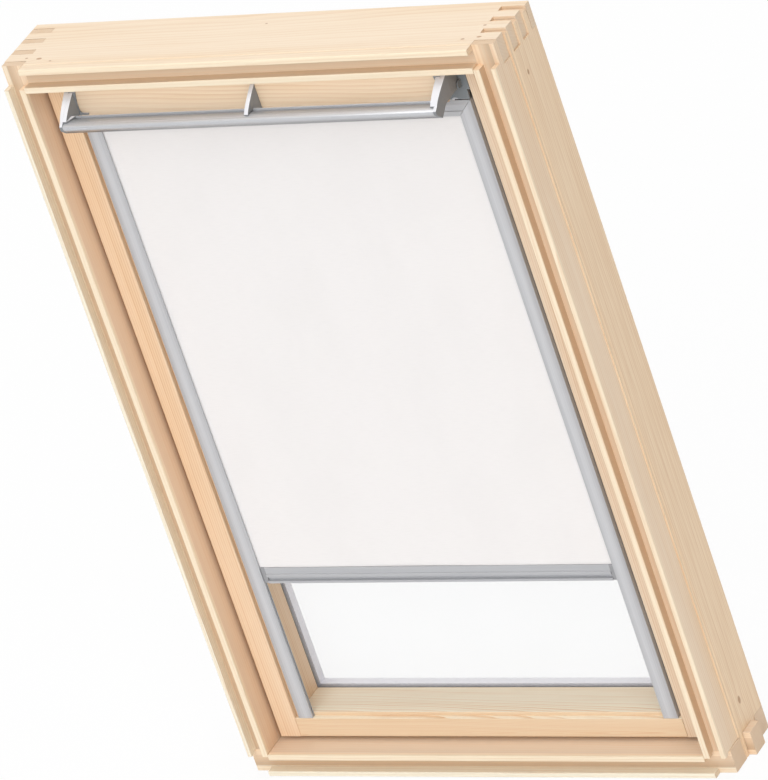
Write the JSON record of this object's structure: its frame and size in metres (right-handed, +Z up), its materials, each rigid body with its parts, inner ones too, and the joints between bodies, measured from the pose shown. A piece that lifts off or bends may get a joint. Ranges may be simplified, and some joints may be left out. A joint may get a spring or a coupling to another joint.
{
  "type": "roof window with roller blind",
  "caption": "Centre-pivot roof window in varnished pine, with a pale room-darkening roller blind half drawn in grey side channels and a pull bar over a ventilation flap.",
  "frame": {"origin": "middle of the frame's underside, at mid depth of the frame's body", "axes": "+X to the right seen from the room, +Y to the outside, +Z up the slope of the window"},
  "size_m": [0.803, 0.1676, 1.178],
  "materials": {
    "varnished_pine": "satin",
    "mill_aluminium": "satin",
    "grey_trim": "satin",
    "steel": "satin",
    "cast_arm": "satin",
    "grey_plastic": "matte",
    "gasket_rubber": "matte",
    "window_glass": "gloss",
    "blind_fabric": "matte",
    "filter_foam": "matte"
  },
  "bodies": {
    "frame": {"frame_top_rail": "varnished_pine", "frame_bottom_rail": "varnished_pine", "frame_left_jamb": "varnished_pine", "frame_right_jamb": "varnished_pine", "frame_hinge_left": "steel", "frame_hinge_right": "steel", "striker_plate": "steel"},
    "flap": {"ventilation_flap": "varnished_pine", "flap_seal": "gasket_rubber", "control_bar": "grey_trim", "bar_arm_left": "cast_arm", "bar_arm_middle": "cast_arm", "bar_arm_right": "cast_arm"},
    "latch": {"latch_bolt": "steel"},
    "roller": {"roller_tube": "grey_trim", "roller_plug_left": "grey_plastic", "roller_plug_right": "grey_plastic", "cloth_roll": "blind_fabric"},
    "blind_bar": {"blind_bottom_bar": "grey_trim", "bar_slider_left": "grey_plastic", "bar_slider_right": "grey_plastic"},
    "sash": {"sash_left_stile": "varnished_pine", "sash_right_stile": "varnished_pine", "sash_bottom_rail": "varnished_pine", "sash_top_rail": "varnished_pine", "pane_spacer": "mill_aluminium", "cover_top": "mill_aluminium", "cover_bottom": "mill_aluminium", "cover_left": "mill_aluminium", "cover_right": "mill_aluminium", "side_channel_left": "grey_trim", "side_channel_right": "grey_trim", "cassette_cover": "grey_trim", "cassette_housing": "grey_trim", "sash_hinge_left": "steel", "sash_hinge_right": "steel", "latch_case": "steel", "roller_pin": "steel", "spring_core": "steel", "return_spring": "steel", "flap_hinge_left": "cast_arm", "flap_hinge_right": "cast_arm", "channel_foot_left": "grey_plastic", "channel_foot_right": "grey_plastic", "cassette_end_left": "grey_plastic", "cassette_end_right": "grey_plastic", "inner_glazing_gasket": "gasket_rubber", "outer_glazing_gasket": "gasket_rubber", "inner_pane": "window_glass", "outer_pane": "window_glass", "blind_cloth": "blind_fabric", "air_filter": "filter_foam"}
  },
  "joints": [
    {"name": "sash_pivot", "type": "hinge", "parent": "frame", "child": "sash", "pos_m": [0, 0.0065, 0.589], "axis": [1, 0, 0], "range_deg": [0, 160]},
    {"name": "control_bar_tilt", "type": "hinge", "parent": "sash", "child": "flap", "pos_m": [0, -0.0355, 1.107], "axis": [1, 0, 0], "range_deg": [0, 30]},
    {"name": "latch_slide", "type": "slide", "parent": "sash", "child": "latch", "axis": [0, 0, 1], "range_m": [-0.0052, 0]},
    {"name": "blind_travel", "type": "slide", "parent": "sash", "child": "blind_bar", "axis": [0, 0, 1], "range_m": [-0.2235, 0.7], "deforming": ["blind_cloth"]},
    {"name": "roller_spin", "type": "hinge", "parent": "sash", "child": "roller", "pos_m": [0, -0.005, 1.076], "axis": [1, 0, 0], "range_deg": [-2600, 840]}
  ],
  "couplings": [
    {"joint": "latch_slide", "follows": "control_bar_tilt", "m_per_rad": -0.0098},
    {"joint": "roller_spin", "follows": "blind_travel", "rad_per_m": -64}
  ]
}
